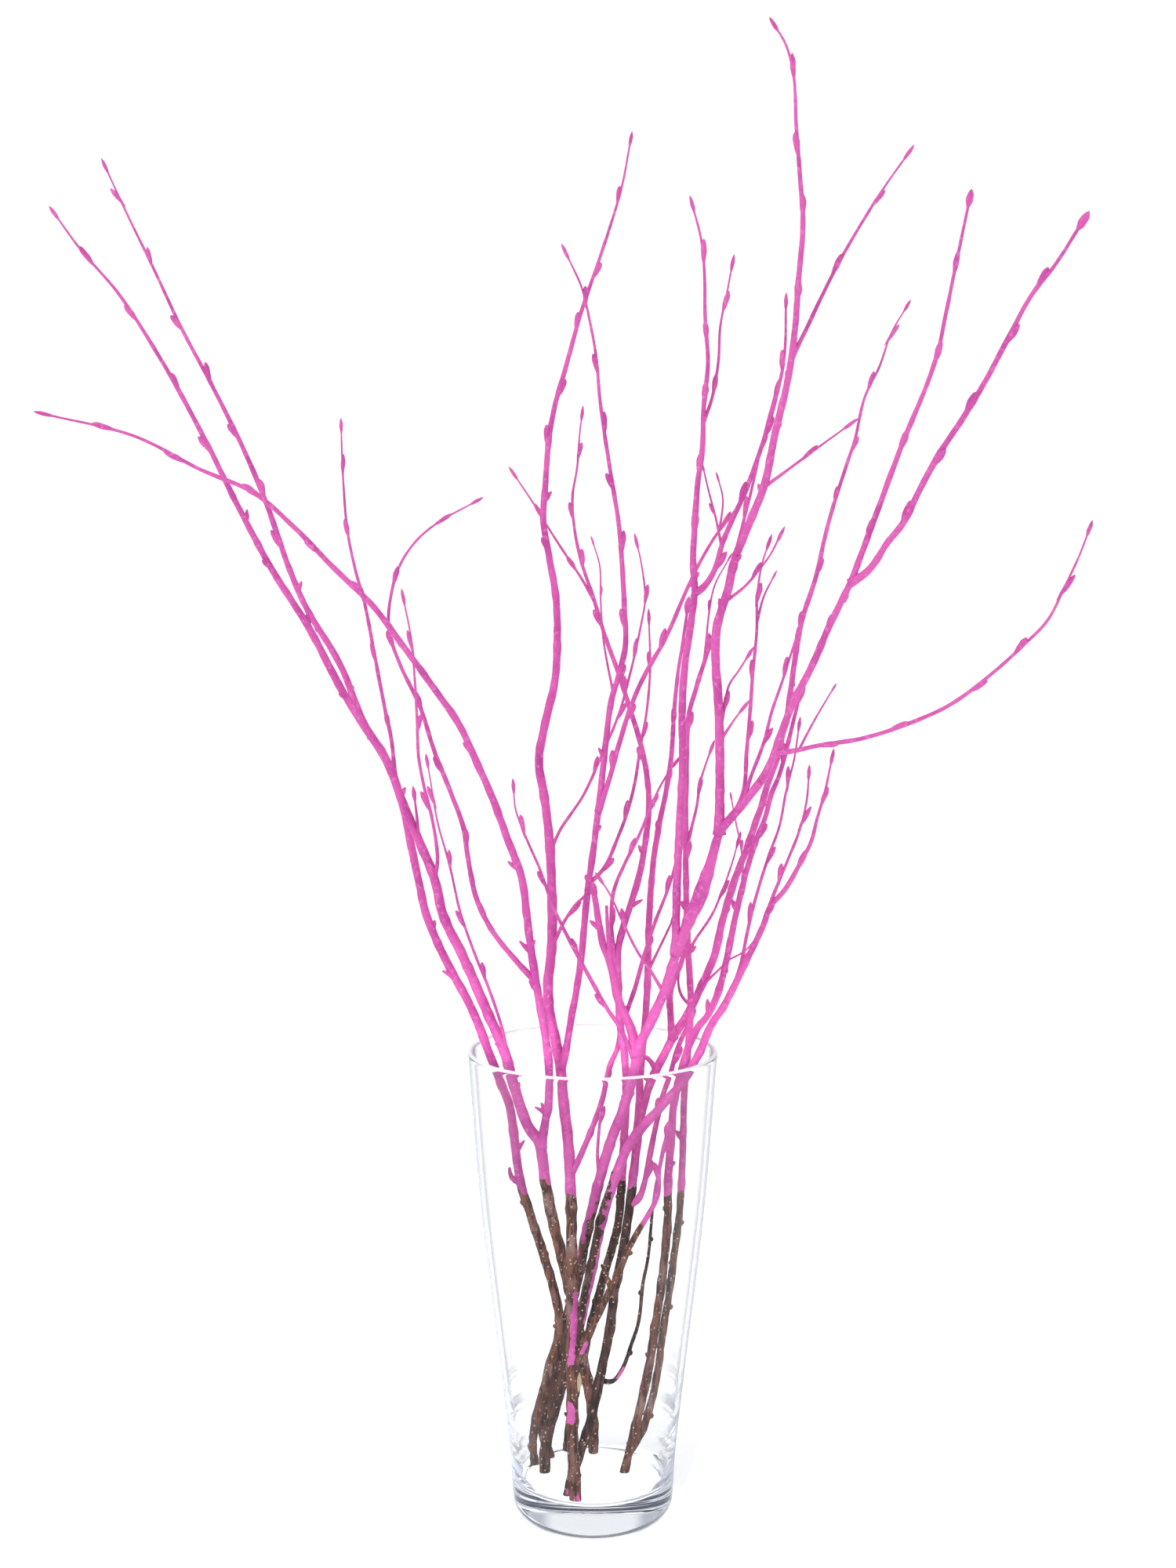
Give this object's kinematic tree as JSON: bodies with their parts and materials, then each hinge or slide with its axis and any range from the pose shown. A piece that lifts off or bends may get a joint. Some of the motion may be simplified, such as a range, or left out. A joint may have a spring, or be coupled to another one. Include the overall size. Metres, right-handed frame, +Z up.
{
  "type": "vase of painted birch twigs",
  "caption": "Bundle of branching birch twigs painted pink above bare brown feet, fanning out of a clear, tapered glass vase with a thick base.",
  "frame": {"origin": "centre of the vase's flat underside, on the surface it stands on", "axes": "+Z up along the vase's axis, +X to the right and +Y away from the front view"},
  "size_m": [0.4881, 0.2616, 0.7438],
  "materials": {
    "vase_glass": "clear colourless polished glass with a thick base",
    "pink_paint": "wood under satin magenta-pink paint, clotted at the buds",
    "bare_bark": "bare brown-grey birch bark with pale lenticels"
  },
  "bodies": {
    "root": {"vase": "vase_glass", "twig_1_bark": "bare_bark", "twig_1_painted": "pink_paint", "twig_2_bark": "bare_bark", "twig_2_painted": "pink_paint", "twig_3_bark": "bare_bark", "twig_3_painted": "pink_paint", "twig_4_bark": "bare_bark", "twig_4_painted": "pink_paint", "twig_5_bark": "bare_bark", "twig_5_painted": "pink_paint", "twig_6_bark": "bare_bark", "twig_6_painted": "pink_paint", "twig_7_bark": "bare_bark", "twig_7_painted": "pink_paint", "twig_8_bark": "bare_bark", "twig_8_painted": "pink_paint", "twig_3_low_branch_painted": "pink_paint", "twig_7_low_shoot_painted": "pink_paint", "twig_8_second_stem_painted": "pink_paint"}
  },
  "joints": []
}
